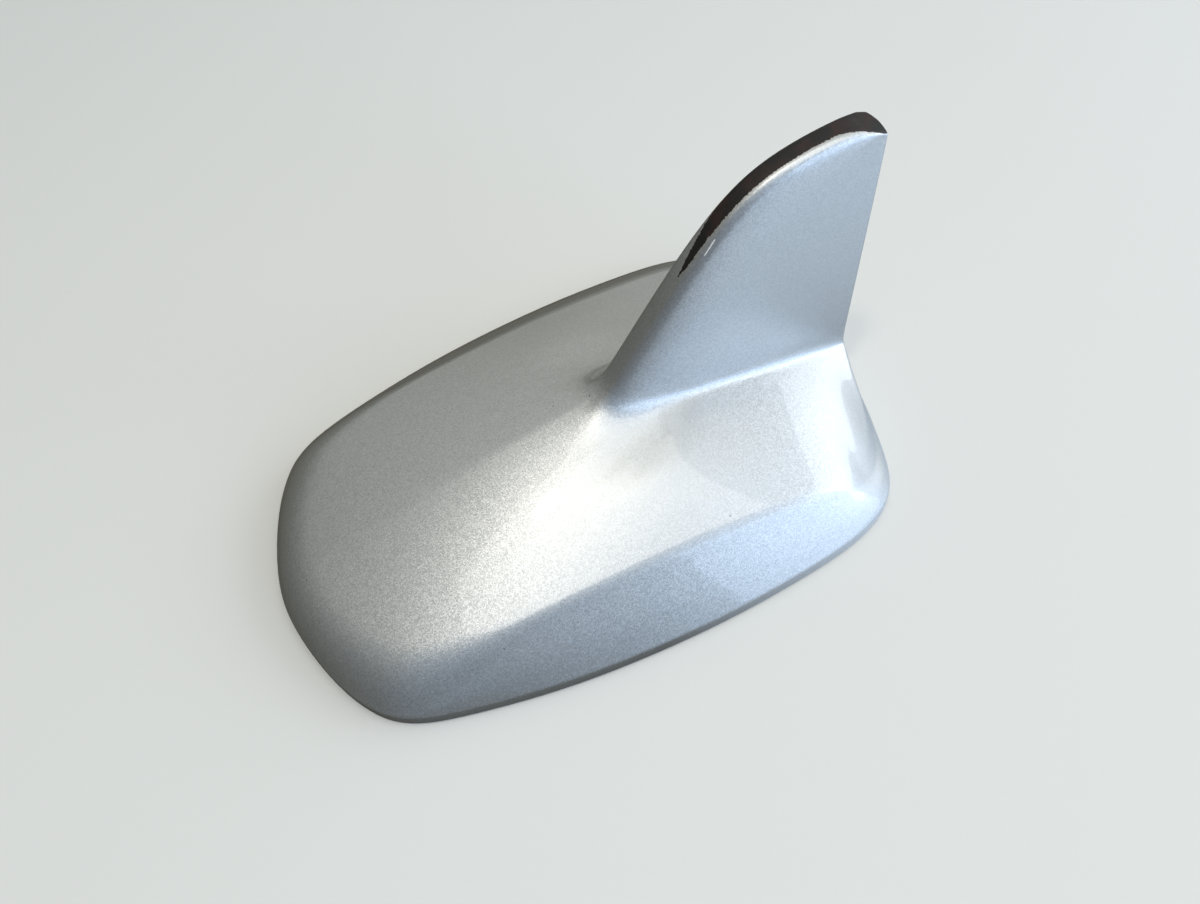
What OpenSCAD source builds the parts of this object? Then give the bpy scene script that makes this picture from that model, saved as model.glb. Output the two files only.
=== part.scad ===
/* [Cover] */
// Overall length of the cover at its rim
length = 116; // [108:1:126]
// Overall width of the cover at its rim
width = 78; // [72:1:86]
// Height of the rim above the roof
rim_gap = 0.6; // [0.4:0.1:1]
// Height of the upright lip round the rim
lip_height = 2.6; // [2:0.1:3.2]
// Wall of the cover
cover_wall = 2.2; // [1.8:0.1:2.4]
// Added height of the shoulder between skirt and deck
shoulder_lift = 0; // [-1:0.1:2]
// Rounding where the skirt turns into the deck, along the sides
shoulder_round = 2; // [1.5:0.25:3]
// Rounding where the nose rolls over into the deck
nose_round = 9; // [6:0.5:10]
// Bulge of the deck's ridge above a straight line from the nose to the fin
deck_crown = 2.1; // [1.4:0.1:2.6]

/* [Fin] */
// Height of the fin's top above the roof
height = 61.6; // [58:0.2:66]
// Front of the fin's root, measured from the middle of the cover
fin_front_x = 7.2; // [4:0.1:10]
// Height of the deck at the front of the fin's root
fin_front_z = 23.4; // [22:0.1:25]
// Height of the deck at the back of the fin's root
fin_back_z = 11.8; // [11:0.1:13]
// Rake of the leading edge from the horizontal, in degrees
fin_rake = 57; // [54:0.5:60]
// Where the leading edge has bent over into the level top
fin_crest_x = 41.5; // [39:0.5:44]
// Distance from the tail of the cover to the fin's top rear corner
fin_back_gap = 2.9; // [2:0.1:3.5]
// Thickness of the fin's sides at its root
fin_root_t = 8.4; // [7.6:0.1:9.4]
// Thickness of the fin at its top
fin_top_t = 5.6; // [5.2:0.1:6.4]
// Wall of the fin
fin_wall = 1.7; // [1.4:0.1:1.8]
// Fillet between the deck and the fin
root_fillet = 5; // [3:0.5:6]

/* [Base] */
// Thickness of the roof gasket, its sealing beads included
gasket_t = 1.6; // [1.2:0.1:2]
// Height of the sealing beads under the gasket
bead_h = 0.5; // [0.3:0.1:0.6]
// Width of the sealing beads
bead_w = 1.2; // [0.8:0.1:1.6]
// Thickness of the die cast base plate
plate_t = 2.4; // [2:0.1:2.6]
// Gap between the base plate and the cover's wall
plate_gap = 0.3; // [0.2:0.05:0.5]
// Height of the ribs on the base plate
rib_h = 1.6; // [1:0.1:2]
// Width of the ribs on the base plate
rib_w = 1.4; // [1:0.1:2]
// Height of the upstand round the base plate
upstand_h = 1.1; // [0.8:0.1:1.3]
// Height of the seal between the edge of the base plate and the cover
seal_t = 0.7; // [0.5:0.05:0.7]

/* [Fixing] */
// Place of the fixing bolt along the antenna
bolt_x = 6; // [4:0.5:7]
// Radius of the threaded hole, an M6 thread's core
bolt_r = 2.5; // [2:0.05:2.6]
// Outer radius of the threaded bush
bush_r = 4.5; // [4:0.1:4.8]
// Length of the threaded bush
bush_len = 8; // [7:0.1:8.5]
// Outer radius of the bush's flange and of the earthing washer
flange_r = 5.4; // [5.2:0.1:5.5]
// Place of the cable inlet along the antenna
inlet_x = 19; // [18:0.5:21]
// Radius of the grommet in the base plate
grommet_r = 4.5; // [4.2:0.1:4.6]
// Radius of each cable bore in the grommet
cable_r = 1.6; // [1.2:0.05:1.8]
// Distance between the two cable bores
cable_pitch = 4.4; // [4:0.1:4.6]
// Radius of the cover screws
cover_screw_r = 1.5; // [1.2:0.05:1.6]
// Radius of the bosses inside the cover
cover_boss_r = 2.9; // [2.6:0.1:3]
// Radius of the vent plug
vent_r = 2.6; // [2:0.1:3]

/* [Electronics] */
// Distance from the nose of the cover to the main circuit board
nose_gap = 18; // [17:0.5:20]
// Width of the main circuit board
board_w = 34; // [32:1:36]
// Rear edge of the main board, measured from the middle of the cover
board_rear_x = -3; // [-4:0.5:-2.5]
// Thickness of the main board
board_t = 1.2; // [1:0.1:1.6]
// Height of the main board above the base plate
board_lift = 2.6; // [2.2:0.1:2.8]
// Radius of the board screws
board_screw_r = 1.25; // [1:0.05:1.3]
// Side of the ceramic patch aerial
patch_side = 18; // [16:0.5:18]
// Thickness of the ceramic patch aerial
patch_t = 4; // [3:0.1:4.2]
// Thickness of the upright board in the fin
fin_board_t = 1; // [0.8:0.1:1.2]
// Gap between the upright board and the fin's edges
fin_board_gap = 3.4; // [3.2:0.1:4]

/* [Hidden] */

// Steps round one half of the plan, from the nose to the tail
steps = 40;
// Smallest gap between two pieces that seat in each other
fit = 0.05;
// Half the plan of the rim, nose to tail, as shares of half the length and half the width
RIM = [[-1, 0], [-0.966, 0.3], [-0.888, 0.585], [-0.775, 0.765], [-0.56, 0.868], [-0.25, 0.955],
       [0.1, 0.997], [0.42, 0.993], [0.7, 0.948], [0.868, 0.82], [0.95, 0.54], [0.988, 0.27], [1, 0]];
// Inset and height of the shoulder at each of the rim's points
SHOULDER = [[3, 8.8], [3, 8.8], [4.4, 9.2], [5.6, 10], [7.1, 11.6], [9.9, 13.5],
            [10.5, 14], [9.5, 12.6], [7.4, 10], [5.5, 7], [2.4, 6.6], [1.8, 9], [0.8, 11.4]];
// Power of the curve across the deck, and how keen its ridge is in front of the fin
deck_power = 1.75;
ridge_keen = 0.3;
// How far in front of the fin the deck starts to spread round it, and over what length
spread_lead = 4;
spread_l = 14;
// Section of the fin's blunt nose, as shares of its length and of half the fin's thickness
NOSE = [[0, 0], [0.005, 0.22], [0.02, 0.41], [0.07, 0.55], [0.18, 0.7], [0.5, 0.89], [1, 1]];
// Share of a half ring that runs round the fin's nose, and where its flat back begins
nose_share = 0.36;
back_share = 0.9;
// Length of the fin's nose at the root and at the top rear corner
nose_root_l = 15;
nose_top_l = 1.8;
lip_z = rim_gap + lip_height;
plate_z = gasket_t + plate_t;
// The plate's top edge clears the sloping inner face of the skirt, where that runs in flattest
inner_lip_z = lip_z - 0.41 * cover_wall;
skirt_run = 1.85;
plate_inset = cover_wall + 0.25 + plate_gap + skirt_run * max(0, plate_z - inner_lip_z);
gasket_inset = cover_wall + 0.4;
seal_inset = cover_wall + 0.3;
board_z = plate_z + board_lift;
board_top = board_z + board_t;
board_l = length / 2 - nose_gap + board_rear_x;
board_mid_x = board_rear_x - board_l / 2;
screw_edge = 3;
board_pitch_x = board_l - 2 * screw_edge;
board_pitch_y = board_w - 2 * screw_edge;
can_gap = 0.6;
can_l = 6;
can_x = board_rear_x - 0.9 - can_l / 2;
patch_x = can_x - can_l / 2 - can_gap - patch_side / 2;
tape_t = 0.3;
patch_z = board_top + tape_t;
electrode_t = 0.15;
feed_y = 2.2;

function mix(a, b, t) = a + (b - a) * t;
function unit(v) = v / max(norm(v), 1e-9);
function eased(t) = let(c = min(max(t, 0), 1)) c * c * (3 - 2 * c);
function flip(p) = [for (i = [0 : len(p) - 1]) i == 1 ? -p[i] : p[i]];
// Smooth curve through a list of points, symmetric about both of its ends
function through(P, u) =
    let(n = len(P) - 1, s = min(max(u, 0), 1) * n, i = min(floor(s), n - 1), f = s - i,
        a = i > 0 ? P[i - 1] : flip(P[1]), b = P[i], c = P[i + 1],
        d = i + 2 <= n ? P[i + 2] : flip(P[n - 1]))
    0.5 * (2 * b + (c - a) * f + (2 * a - 5 * b + 4 * c - d) * f * f
           + (3 * b - a - 3 * c + d) * f * f * f);
// Smooth curve through a list of pairs whose ends run level
function along(P, u) =
    let(n = len(P) - 1, s = min(max(u, 0), 1) * n, i = min(floor(s), n - 1), f = s - i,
        a = P[max(i - 1, 0)], b = P[i], c = P[i + 1], d = P[min(i + 2, n)])
    0.5 * (2 * b + (c - a) * f + (2 * a - 5 * b + 4 * c - d) * f * f
           + (3 * b - a - 3 * c + d) * f * f * f);

// Point of the plan at share u of the half ring, moved in from the rim by an inset
function rim_point(u) = let(p = through(RIM, u)) [p[0] * length / 2, p[1] * width / 2];
function rim_inward(u) =
    let(e = 0.01, p = u < e ? flip(rim_point(e)) : rim_point(u - e),
        q = u > 1 - e ? flip(rim_point(1 - e)) : rim_point(u + e), t = unit(q - p))
    [t[1], -t[0]];
function rim(u, inset) = rim_point(u) + inset * rim_inward(u);
// Closed plan outline with the given inset
function plan(inset) = concat([for (j = [0 : steps]) rim(j / steps, inset)],
                              [for (j = [steps - 1 : -1 : 1]) flip(rim(j / steps, inset))]);

// Line up the fin's front and back along its top, w = 0 at the root and 1 at the top rear corner
function bezier(a, b, c, d, t) = mix(mix(mix(a, b, t), mix(b, c, t), t), mix(mix(b, c, t), mix(c, d, t), t), t);
crest_share = 0.72;
crest_drop = 0.7;
crest_pull = [12, 2.2];
rear_top_l = 3.4;
rear_drop = 1.3;
fin_foot = [fin_front_x, fin_front_z];
fin_crest = [fin_crest_x, height - crest_drop];
rake_pull = 0.9 * (height - fin_front_z);
back_foot = [length / 2 - 0.7, fin_back_z];
back_top = [length / 2 - fin_back_gap, height - 1.2 * rear_drop];
function leading(w) =
    w < crest_share
    ? bezier(fin_foot, fin_foot + rake_pull * [cos(fin_rake), sin(fin_rake)], fin_crest - crest_pull,
             fin_crest, w / crest_share)
    : let(f = (w - crest_share) / (1 - crest_share))
      [mix(fin_crest_x, back_top[0] - rear_top_l, f),
       height - crest_drop * pow(1 - min(1, f / 0.7), 2) - 0.5 * rear_drop * pow(max(0, f - 0.7) / 0.3, 2)];
function trailing(w) = mix(back_foot, back_top, w);
// Point of the fin at height share w and ring share u, with the wall t taken off
function fin(w, u, t, side) =
    let(drop = [0, -t], a = leading(w) + [t, 0] + drop, b = trailing(w) - [t, 0] + drop,
        chord = norm(b - a), dir = unit(b - a), nose = mix(nose_root_l, nose_top_l, w),
        half = mix(fin_root_t, fin_top_t, w) / 2 - side,
        n = along(NOSE, u / nose_share),
        s = u < nose_share ? nose * n[0]
            : u < back_share ? mix(nose, chord - 0.4, (u - nose_share) / (back_share - nose_share))
            : mix(chord - 0.4, chord, sin(90 * (u - back_share) / (1 - back_share))),
        y = u < nose_share ? half * n[1]
            : u < back_share ? half
            : half * (1 - pow((u - back_share) / (1 - back_share), 2)),
        p = a + s * dir)
    [p[0], y, p[1]];

// Rounded corner at b between the lines to a and c, which starts and ends at most the share `most` along them
function towards(b, a, r, most) = b + unit(a - b) * min(r, most * norm(a - b));
function corner(a, b, c, r, t, most) =
    let(p = towards(b, a, r, most), q = towards(b, c, r, most))
    mix(mix(p, b, t), mix(b, q, t), t);
function shoulder(u, t) =
    let(s = through([for (q = SHOULDER) [q[0], 0, q[1]]], u), p = rim(u, s[0] + 0.7 * t))
    [p[0], p[1], s[2] + rim_gap - 0.6 + shoulder_lift - 0.85 * t];
// Share of the half ring at which the shoulder has the given x
function shoulder_share(x, t, low = 0, high = 1, turns = 12) =
    let(u = (low + high) / 2)
    turns == 0 ? u
    : shoulder(u, t)[0] < x ? shoulder_share(x, t, u, high, turns - 1) : shoulder_share(x, t, low, u, turns - 1);
// Height of the deck at any place: a ridge in the middle, which the fin takes over, and a curve down to the shoulder
function deck_z(x, y, t) =
    let(tip = shoulder(0, t), way = (x - tip[0]) / (fin_front_x - tip[0]), s = shoulder(shoulder_share(x, t), t),
        ridge = way < 1 ? mix(tip[2], fin_front_z - t, way) + deck_crown * 4 * way * (1 - way)
                : mix(fin_front_z, fin_back_z, (x - fin_front_x) / (back_foot[0] - fin_front_x)) - t,
        half = fin_root_t / 2 * eased((x - fin_front_x + spread_lead) / spread_l),
        q = min(max((y - half) / max(s[1] - half, 1), 0), 1), keen = ridge_keen * eased(way))
    s[2] + (ridge - s[2]) * (1 - (1 - keen) * pow(q, deck_power) - keen * q);
// Point of the deck at share v of the way from the shoulder s to the fin's foot f; the narrow tail runs straight
function deck(s, f, v, t, u) =
    let(p = mix(s, f, v)) [p[0], p[1], mix(deck_z(p[0], p[1], t), p[2], eased((u - 0.74) / 0.14))];
function lip(u, t, z) = let(p = rim(u, t)) [p[0], p[1], z];

// Shares of the fin's height at which the outer and the inner face have a ring of points
outer_steps = [0.2, 0.3, 0.4, 0.5, 0.58, 0.65, 0.71, 0.77, 0.83, 0.89, 0.94, 0.98, 1];
inner_steps = [0.3, 0.5, 0.65, 0.8, 0.92];
// One line of points from the rim to the fin's top, for the face with wall t taken off
skirt_bulge = 0.4;
function profile(u, t, side, turns) =
    let(top = lip(u, 0.25 + t, lip_z - 0.41 * t), s = shoulder(u, t), f = fin(0, u, t, side),
        up = fin(0.12, u, t, side), foot = deck(s, f, 0.84, t, u), out = rim_inward(u),
        near = deck(s, f, 0.12, t, u), r = mix(nose_round, shoulder_round, eased((u - 0.2) / 0.22)),
        skirt_end = towards(s, top, r, 0.9), bulge = skirt_bulge * norm(skirt_end - top) / norm(s - top),
        mid = mix(top, skirt_end, 0.5) - bulge * [out[0] * 0.7, out[1] * 0.7, -0.7])
    concat([lip(u, t, rim_gap), lip(u, t + 0.05, lip_z - 0.41 * t - 0.7), top, mid],
           [for (k = [0 : turns]) corner(top, s, near, r, k / turns, 0.9)],
           [for (v = t > 0 ? [0.35, 0.6] : [0.22, 0.33, 0.45, 0.57, 0.68, 0.77]) deck(s, f, v, t, u)],
           [for (k = [0 : turns]) corner(foot, f, up, root_fillet, k / turns, 0.6)],
           [for (w = t > 0 ? inner_steps : outer_steps) fin(w, u, t, side)]);

count = 2 * steps;
function ring_point(lines, i, j) = j <= steps ? lines[j][i] : flip(lines[count - j][i]);
function rings(lines) = [for (i = [0 : len(lines[0]) - 1], j = [0 : count - 1]) ring_point(lines, i, j)];
function side_faces(rows, start) =
    [for (i = [0 : rows - 2], j = [0 : count - 1])
        let(a = start + i * count + j, b = start + i * count + (j + 1) % count)
        each [[a, b, b + count], [a, b + count, a + count]]];
function top_faces(start) =
    [for (j = [0 : steps - 1])
        let(a = start + j, b = start + j + 1, c = start + (count - j - 1) % count, d = start + (count - j) % count)
        each concat(j < steps - 1 ? [[a, b, c]] : [], j > 0 ? [[a, c, d]] : [])];
function rim_faces(inner) =
    [for (j = [0 : count - 1]) let(k = (j + 1) % count) each [[k, j, inner + j], [k, inner + j, inner + k]]];
function turned(faces) = [for (f = faces) [f[0], f[2], f[1]]];

// Filled body whose face lies halfway through the wall, which cuts the inner ribs to length
module core() {
    lines = [for (j = [0 : steps]) profile(j / steps, cover_wall / 2, fin_wall / 2, 2)];
    n = len(lines[0]);
    polyhedron(rings(lines), concat(side_faces(n, 0), top_faces((n - 1) * count),
                                    [[for (j = [count - 1 : -1 : 0]) j]]));
}

// Hollow shell of skirt, deck and fin in one moulding, open below
module shell() {
    outer = [for (j = [0 : steps]) profile(j / steps, 0, 0, 4)];
    inner = [for (j = [0 : steps]) profile(j / steps, cover_wall, fin_wall, 2)];
    n = len(outer[0]);
    m = len(inner[0]);
    start = n * count;
    polyhedron(concat(rings(outer), rings(inner)),
               concat(side_faces(n, 0), top_faces((n - 1) * count), rim_faces(start),
                      turned(side_faces(m, start)), turned(top_faces(start + (m - 1) * count))));
}

// Places of the screws between the base plate and the cover, on the deck at a share of the half ring
cover_screw_spots = [[0.28, 0.13], [0.7, 0.34]];
function deck_spot(s) =
    deck(shoulder(s[0], 0), fin(0, s[0], 0, 0), s[1], 0, s[0]);
function both_sides(list) = [for (p = list) each [p, flip(p)]];
cover_screw_points = both_sides([for (s = cover_screw_spots) deck_spot(s)]);
boss_bite = 0.55 * cover_wall;
boss_roof = cover_wall + 1;
inner_rib_t = 1;
gusset_reach = 6;
gusset_z = plate_z + 5;
guide_x = [fin_crest_x - 5, fin_crest_x + 5];
guide_z = 0.42 * height;
guide_h = 0.36 * height;

// Gussets across the screw bosses, and ribs in the fin that guide the upright board
module inner_ribs() {
    intersection() {
        core();
        union() {
            for (p = cover_screw_points)
                translate([p[0] - inner_rib_t / 2, p[1] - gusset_reach, gusset_z])
                cube([inner_rib_t, 2 * gusset_reach, height]);
            for (x = guide_x, s = [-1, 1])
                translate([x, s > 0 ? fin_board_t / 2 + 0.3 : -fin_root_t, guide_z])
                cube([inner_rib_t, fin_root_t - fin_board_t / 2 - 0.3, guide_h]);
        }
    }
}

module cover() {
    color("#c3c6c6")
    difference() {
        union() {
            shell();
            inner_ribs();
            for (p = cover_screw_points)
                translate([p[0], p[1], plate_z])
                cylinder(r = cover_boss_r, h = p[2] - boss_bite - plate_z, $fn = 32);
        }
        for (p = cover_screw_points)
            translate([p[0], p[1], plate_z - 1])
            cylinder(r = cover_screw_r + fit, h = p[2] - boss_roof - plate_z + 1, $fn = 24);
    }
}

// Soft loop squeezed between the plate's edge and the inside of the lip
module cover_seal() {
    color("#1d1d1f")
    translate([0, 0, gasket_t])
    linear_extrude(seal_t)
    difference() {
        polygon(plan(seal_inset));
        polygon(plan(plate_inset - fit));
    }
}

board_screw_points = [for (i = [-1, 1], j = [-1, 1])
    [board_mid_x + i * board_pitch_x / 2, j * board_pitch_y / 2]];
boss_r = 2.6;
head_r = 1.9 * cover_screw_r;
head_h = 1.2;
bush_boss_r = bush_r + 2.3;
vent_edge = 13;
vent_x = vent_edge - length / 2;
bracket_x = length / 2 - 24;
rib_x = [bracket_x - 4, bracket_x + 2.5, bracket_x + 9];
rib_half = width / 2 - 22.5;

// Outlines of everything that passes down through the gasket, grown by a margin
module fixing_outlines(extra) {
    translate([bolt_x, 0])
    circle(r = flange_r + extra, $fn = 48);
    translate([inlet_x, 0])
    circle(r = grommet_r + 0.7 + extra, $fn = 48);
    translate([vent_x, 0])
    circle(r = vent_r + extra, $fn = 32);
    for (p = cover_screw_points)
        translate([p[0], p[1]])
        circle(r = head_r + extra, $fn = 32);
}

// Wall round the plate, broken where the cover's bosses stand
upstand_w = 1.2;
upstand_inset = plate_inset + skirt_run * upstand_h;
module upstand() {
    translate([0, 0, plate_z])
    linear_extrude(upstand_h)
    difference() {
        polygon(plan(upstand_inset));
        polygon(plan(upstand_inset + upstand_w));
        for (p = cover_screw_points)
            translate([p[0], p[1]])
            circle(r = cover_boss_r + 0.5, $fn = 32);
    }
}

module base_plate() {
    color("#9b9da0")
    difference() {
        union() {
            translate([0, 0, gasket_t])
            linear_extrude(plate_t)
            polygon(plan(plate_inset));
            upstand();
            for (p = board_screw_points)
                translate([p[0], p[1], plate_z])
                cylinder(r = boss_r, h = board_lift, $fn = 32);
            translate([bolt_x, 0, plate_z])
            cylinder(r = bush_boss_r, h = gasket_t + bush_len - plate_z - 0.4, $fn = 48);
            for (x = rib_x)
                translate([x - rib_w / 2, -rib_half, plate_z])
                cube([rib_w, 2 * rib_half, rib_h]);
            for (s = [-1, 1])
                translate([bolt_x, s * (bush_boss_r + 5) - rib_w / 2, plate_z])
                cube([rib_x[2] - bolt_x, rib_w, rib_h]);
            for (s = [-1, 1])
                translate([bolt_x - rib_w / 2, s > 0 ? bush_boss_r - 1 : -bush_boss_r - 5, plate_z])
                cube([rib_w, 6, rib_h + 1]);
        }
        for (p = board_screw_points)
            translate([p[0], p[1], gasket_t + 1])
            cylinder(r = board_screw_r + fit, h = plate_t + board_lift, $fn = 24);
        for (p = cover_screw_points) {
            translate([p[0], p[1], gasket_t - 1])
            cylinder(r = cover_screw_r + 0.15, h = plate_t + 2, $fn = 32);
            translate([p[0], p[1], gasket_t - 1])
            cylinder(r = head_r + 0.15, h = head_h + 1, $fn = 32);
        }
        translate([bolt_x, 0, gasket_t - 1])
        cylinder(r = bush_r + fit, h = bush_len + 2, $fn = 48);
        translate([inlet_x, 0, gasket_t - 1])
        cylinder(r = grommet_r + fit, h = plate_t + 2, $fn = 48);
        translate([vent_x, 0, gasket_t - 1])
        cylinder(r = vent_r - 0.8, h = plate_t + 2, $fn = 32);
        translate([vent_x, 0, gasket_t - 1])
        cylinder(r = vent_r + fit, h = 2, $fn = 32);
    }
}

module loop(inset) {
    difference() {
        polygon(plan(inset));
        polygon(plan(inset + bead_w));
    }
}

// Soft pad that stands proud of the rim and carries the antenna on the roof: a sheet on two
// sealing loops, a bead round every hole and cross ribs between them
edge_bead_inset = gasket_inset + 0.6;
inner_bead_inset = gasket_inset + 7;
cross_rib_x = [-40 : 10 : 40];
module gasket_beads() {
    loop(edge_bead_inset);
    loop(inner_bead_inset);
    fixing_outlines(0.15 + bead_w);
    intersection() {
        polygon(plan(edge_bead_inset + bead_w / 2));
        for (x = cross_rib_x)
            translate([x * length / 116 - bead_w / 2, -width / 2])
            square([bead_w, width]);
    }
}
module roof_gasket() {
    color("#232325")
    union() {
        translate([0, 0, bead_h])
        linear_extrude(gasket_t - bead_h)
        difference() {
            polygon(plan(gasket_inset));
            fixing_outlines(0.15);
        }
        linear_extrude(bead_h)
        difference() {
            gasket_beads();
            fixing_outlines(0.15);
        }
    }
}

module main_board() {
    color("#1f5a3a")
    difference() {
        translate([board_mid_x - board_l / 2, -board_w / 2, board_z])
        linear_extrude(board_t)
        polygon([[3, 0], [board_l, 0], [board_l, board_w], [3, board_w], [0, board_w - 3], [0, 3]]);
        for (p = board_screw_points)
            translate([p[0], p[1], board_z - 1])
            cylinder(r = board_screw_r + 0.15, h = board_t + 2, $fn = 24);
        translate([patch_x, feed_y, board_z - 1])
        cylinder(r = 0.5 + fit, h = board_t + 2, $fn = 24);
    }
}

module square_slab(side, h, r) {
    linear_extrude(h)
    translate([patch_x, 0])
    polygon([for (q = [0 : 3], s = [0, 1]) let(c = side / 2, k = c - r)
        [[c, -k], [c, k], [k, c], [-k, c], [-c, k], [-c, -k], [-k, -c], [k, -c]][2 * q + s]]);
}

module drilled_slab(side, z, h, r) {
    difference() {
        translate([0, 0, z])
        square_slab(side, h, r);
        translate([patch_x, feed_y, z - 1])
        cylinder(r = 0.5 + fit, h = h + 2, $fn = 24);
    }
}

module patch_tape() {
    color("#e8e6df")
    drilled_slab(patch_side - 1, board_top, tape_t, 0.6);
}

module gps_patch() {
    color("#b9a184")
    drilled_slab(patch_side, patch_z, patch_t, 0.5);
}

module patch_electrode() {
    color("#cfd0cf")
    drilled_slab(patch_side - 4, patch_z + patch_t, electrode_t, 1.6);
}

module patch_feed_pin() {
    color("#c9a24a")
    translate([patch_x, feed_y, board_z - 0.8])
    union() {
        cylinder(r = 0.5, h = patch_z + patch_t + electrode_t - board_z + 0.8, $fn = 24);
        translate([0, 0, patch_z + patch_t + electrode_t - board_z + 0.8])
        cylinder(r = 1.1, h = 0.35, $fn = 32);
    }
}

module can(x, y, l, w, h) {
    t = 0.3;
    translate([x - l / 2, y - w / 2, board_top])
    difference() {
        cube([l, w, h]);
        translate([t, t, -t])
        cube([l - 2 * t, w - 2 * t, h]);
    }
}

module amplifier_can() {
    color("#b8bbbd")
    can(can_x, 0, can_l, patch_side, 3);
}

module filter_can() {
    color("#b8bbbd")
    can(patch_x + 4, patch_side / 2 + 4, 11, 6, 2);
}

// Amplifier chip, two rows of small parts and a pair of inductors beside the patch aerial
chip_side = 4;
module board_components() {
    color("#5b4636")
    translate([patch_x, -patch_side / 2 - 6, board_top])
    union() {
        translate([3, 0.4, 0])
        cube([chip_side, chip_side, 0.9]);
        for (i = [0 : 4], y = [0, 2.8])
            translate([-9 + 2.1 * i, y, 0])
            cube([1, 1.8, 0.7]);
        for (i = [0, 1])
            translate([8.4, 0.2 + 2.6 * i, 0])
            cube([2.2, 1.4, 1.3]);
    }
}

// Tinned strip that joins the two boards over the threaded bush
strip_t = 0.4;
strip_top = gasket_t + bush_len + 0.8;
fin_board_front = fin_front_x + fin_board_gap + 5;
fin_board_z = strip_top + strip_t;
module contact_strip() {
    color("#d6c07a")
    translate([0, 2, 0])
    rotate([90, 0, 0])
    linear_extrude(4)
    polygon([[board_rear_x - 0.4, board_top], [board_rear_x - 0.4 + strip_t, board_top],
             [board_rear_x - 0.4 + strip_t, strip_top], [fin_board_front + 3, strip_top],
             [fin_board_front + 3, strip_top + strip_t], [board_rear_x - 0.4, strip_top + strip_t]]);
}

// Upright board that follows the fin's leading edge inside the shell
bracket_l = 12;
bracket_h = 6.4;
fin_board_top = height - 9;
function board_front_line() = [for (w = [0.2 : 0.1 : 0.75])
    let(p = leading(w) + [fin_board_gap + 1.6, -fin_board_gap]) if (p[1] < fin_board_top) p];
fin_board_edge = concat([[fin_board_front, fin_board_z]], board_front_line(),
    [[back_top[0] - cover_wall - 3, fin_board_top], [back_foot[0] - cover_wall - 3, fin_board_z],
     [bracket_x + bracket_l - 1, fin_board_z], [bracket_x + bracket_l - 1, plate_z + 2.2],
     [bracket_x + 1, plate_z + 2.2], [bracket_x + 1, fin_board_z]]);
module fin_board() {
    color("#1f5a3a")
    translate([0, fin_board_t / 2, 0])
    rotate([90, 0, 0])
    linear_extrude(fin_board_t)
    polygon(fin_board_edge);
}

// Copper meander on the side of the upright board
foil_t = 0.12;
foil_w = 2;
foil_rows = 5;
foil_pitch = 7;
foil_z = fin_board_z + 7;
function foil_front(z) = fin_board_front + 5 + 0.66 * (z - foil_z);
module fin_foil() {
    color("#b8703a")
    translate([0, -fin_board_t / 2, 0])
    rotate([90, 0, 0])
    linear_extrude(foil_t)
    union() {
        for (i = [0 : foil_rows - 1])
            translate([foil_front(foil_z + i * foil_pitch), foil_z + i * foil_pitch])
            square([back_top[0] - cover_wall - 6 - foil_front(foil_z + i * foil_pitch), foil_w]);
        for (i = [0 : foil_rows - 2])
            let(z = foil_z + i * foil_pitch)
            translate([i % 2 == 0 ? back_top[0] - cover_wall - 6 - foil_w : foil_front(z + foil_pitch), z])
            square([foil_w, foil_pitch + foil_w]);
        translate([foil_front(foil_z), fin_board_z])
        square([foil_w, foil_z - fin_board_z + 0.1]);
    }
}

bracket_foot = 5;
bracket_cheek = 2.4;
module fin_bracket() {
    color("#2e3033")
    difference() {
        translate([bracket_x, 0, plate_z])
        rotate([90, 0, 90])
        linear_extrude(bracket_l)
        polygon([[-bracket_foot, 0], [bracket_foot, 0], [bracket_foot, 2], [bracket_cheek, 3.4],
                 [bracket_cheek, bracket_h - 0.8], [bracket_cheek - 0.8, bracket_h],
                 [0.8 - bracket_cheek, bracket_h], [-bracket_cheek, bracket_h - 0.8],
                 [-bracket_cheek, 3.4], [-bracket_foot, 2]]);
        translate([bracket_x + 0.9, -fin_board_t / 2 - fit, plate_z + 2.15])
        cube([bracket_l - 1.8, fin_board_t + 2 * fit, bracket_h]);
        for (x = rib_x)
            translate([x - rib_w / 2 - 0.1, -6, plate_z - 1])
            cube([rib_w + 0.2, 12, rib_h + 1.1]);
    }
}

foam_t = fin_board_t + 0.8;
foam_x = fin_crest_x - 1.6;
foam_tail = 6.2;
foam_head = 3.4;
module foam_pad() {
    color("#3a3b3d")
    translate([foam_x, -foam_t / 2, fin_board_top])
    cube([back_top[0] - foam_tail - foam_x, foam_t, height - cover_wall - fin_board_top - foam_head]);
}

flange_t = 0.5;
bush_chamfer = 0.5;
module threaded_bush() {
    color("#c8a553")
    translate([bolt_x, 0, gasket_t])
    rotate_extrude($fn = 48)
    polygon([[bolt_r, -flange_t], [flange_r, -flange_t], [flange_r, 0], [bush_r, 0],
             [bush_r, bush_len - bush_chamfer], [bush_r - bush_chamfer, bush_len], [bolt_r, bush_len]]);
}

// Spring washer whose teeth bite through the roof's paint
tooth_count = 12;
washer_t = 0.6;
module earth_washer() {
    color("#8e9192")
    translate([bolt_x, 0, gasket_t - flange_t - washer_t])
    linear_extrude(washer_t)
    difference() {
        circle(r = flange_r, $fn = 48);
        circle(r = bolt_r + 0.7, $fn = 48);
        for (k = [0 : tooth_count - 1])
            rotate(k * 360 / tooth_count)
            translate([flange_r - 1.1, -0.35])
            square([2, 0.7]);
    }
}

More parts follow.
